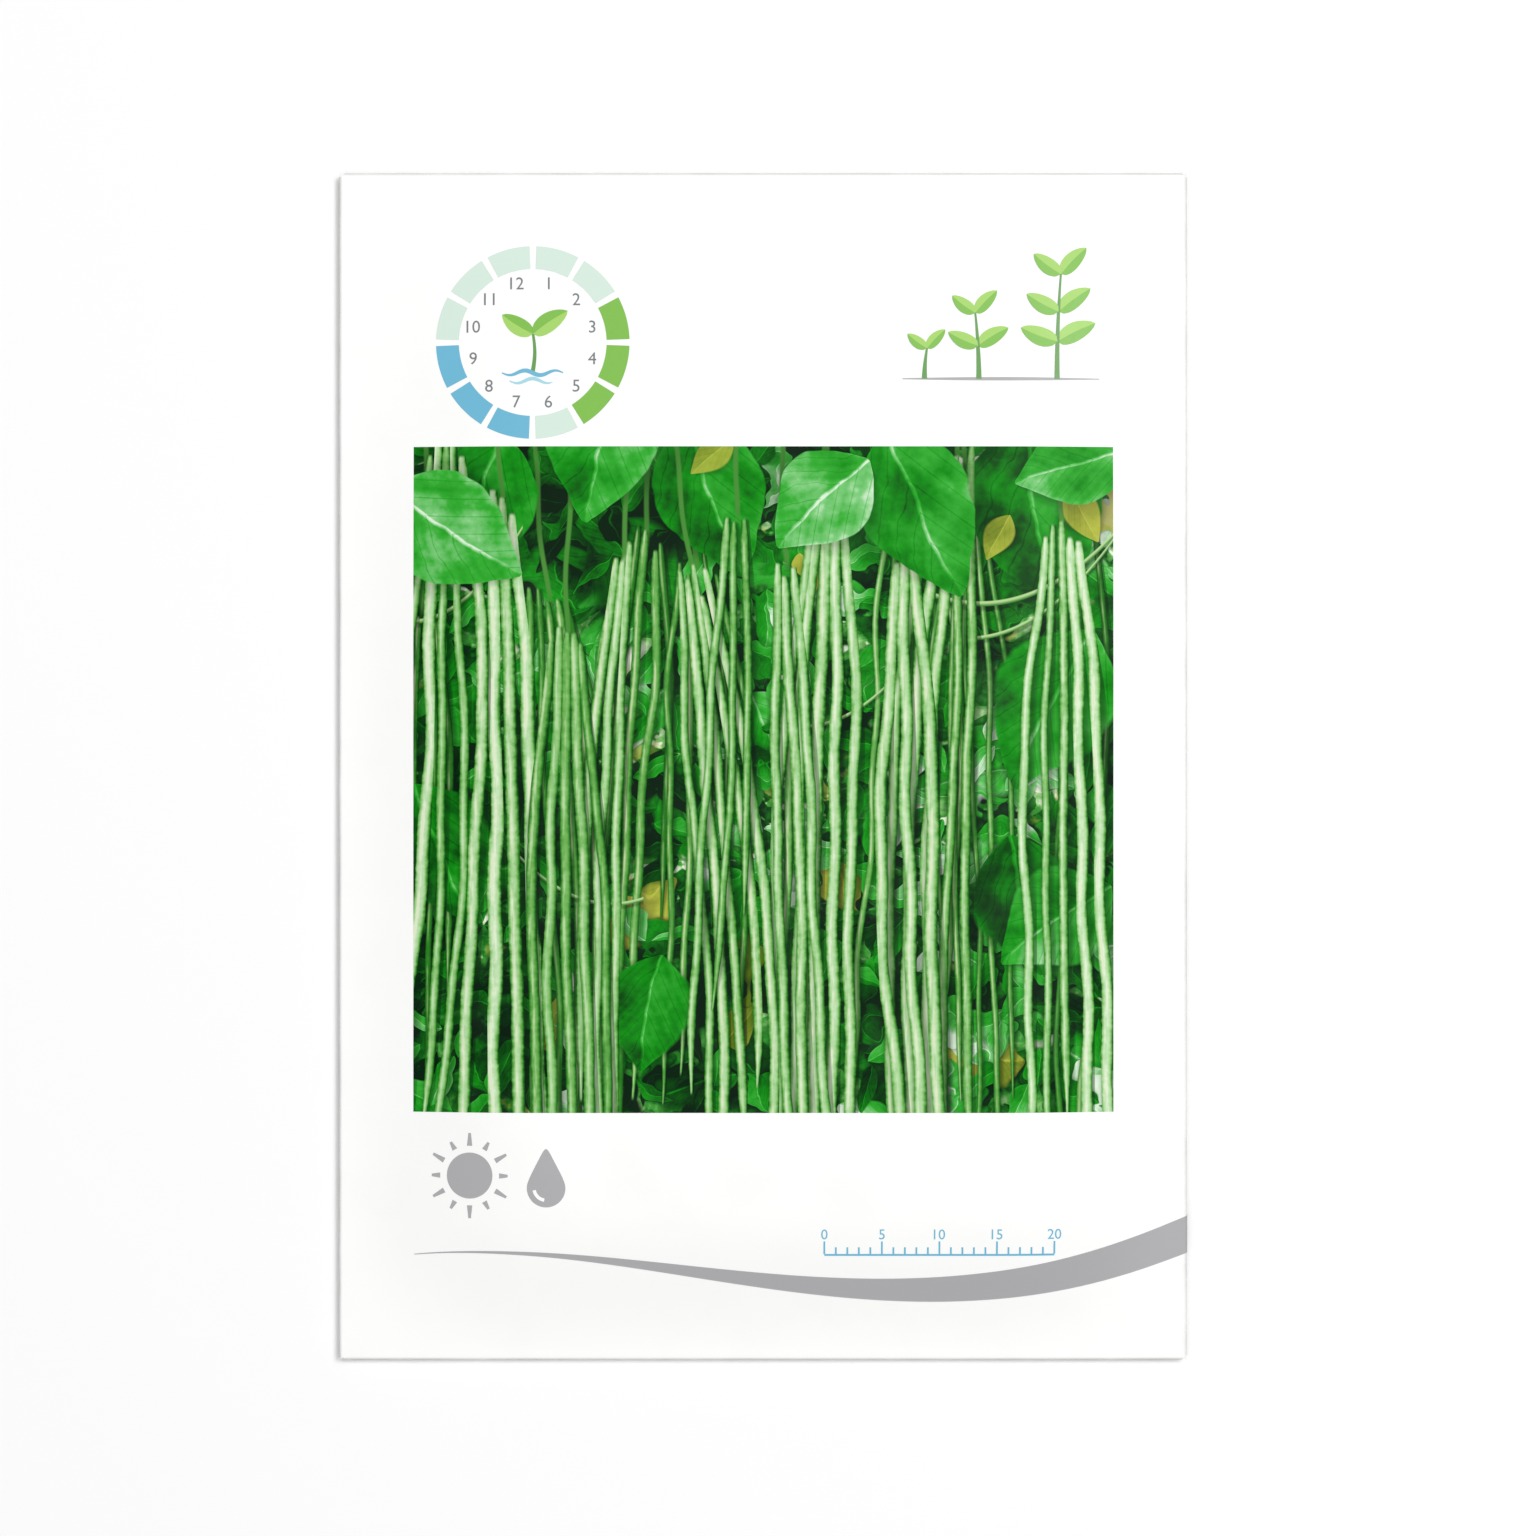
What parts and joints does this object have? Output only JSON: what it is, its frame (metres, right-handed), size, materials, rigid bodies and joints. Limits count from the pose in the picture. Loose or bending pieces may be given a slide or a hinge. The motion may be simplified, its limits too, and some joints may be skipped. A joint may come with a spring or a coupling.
{
  "type": "seed packet",
  "caption": "Flat rectangular paper seed packet: a folded and glued envelope, swollen slightly by the loose layer of bean seeds sealed inside.",
  "frame": {"origin": "on the surface that the packet lies on, under the middle of its front, where the back of the swollen part rests", "axes": "+X towards the printed front's right edge, +Y towards the packet's top edge, +Z out of the printed front"},
  "size_m": [0.1, 0.14, 0.0053],
  "materials": {
    "coated_paper": "satin",
    "seed_coat": "satin"
  },
  "bodies": {
    "root": {"envelope": "coated_paper", "seed_01": "seed_coat", "seed_02": "seed_coat", "seed_03": "seed_coat", "seed_04": "seed_coat", "seed_05": "seed_coat", "seed_06": "seed_coat", "seed_07": "seed_coat", "seed_08": "seed_coat", "seed_09": "seed_coat", "seed_10": "seed_coat", "seed_11": "seed_coat", "seed_12": "seed_coat", "seed_13": "seed_coat", "seed_14": "seed_coat", "seed_15": "seed_coat", "seed_16": "seed_coat", "seed_17": "seed_coat", "seed_18": "seed_coat", "seed_19": "seed_coat", "seed_20": "seed_coat", "seed_21": "seed_coat", "seed_22": "seed_coat", "seed_23": "seed_coat", "seed_24": "seed_coat", "seed_25": "seed_coat"}
  },
  "joints": []
}
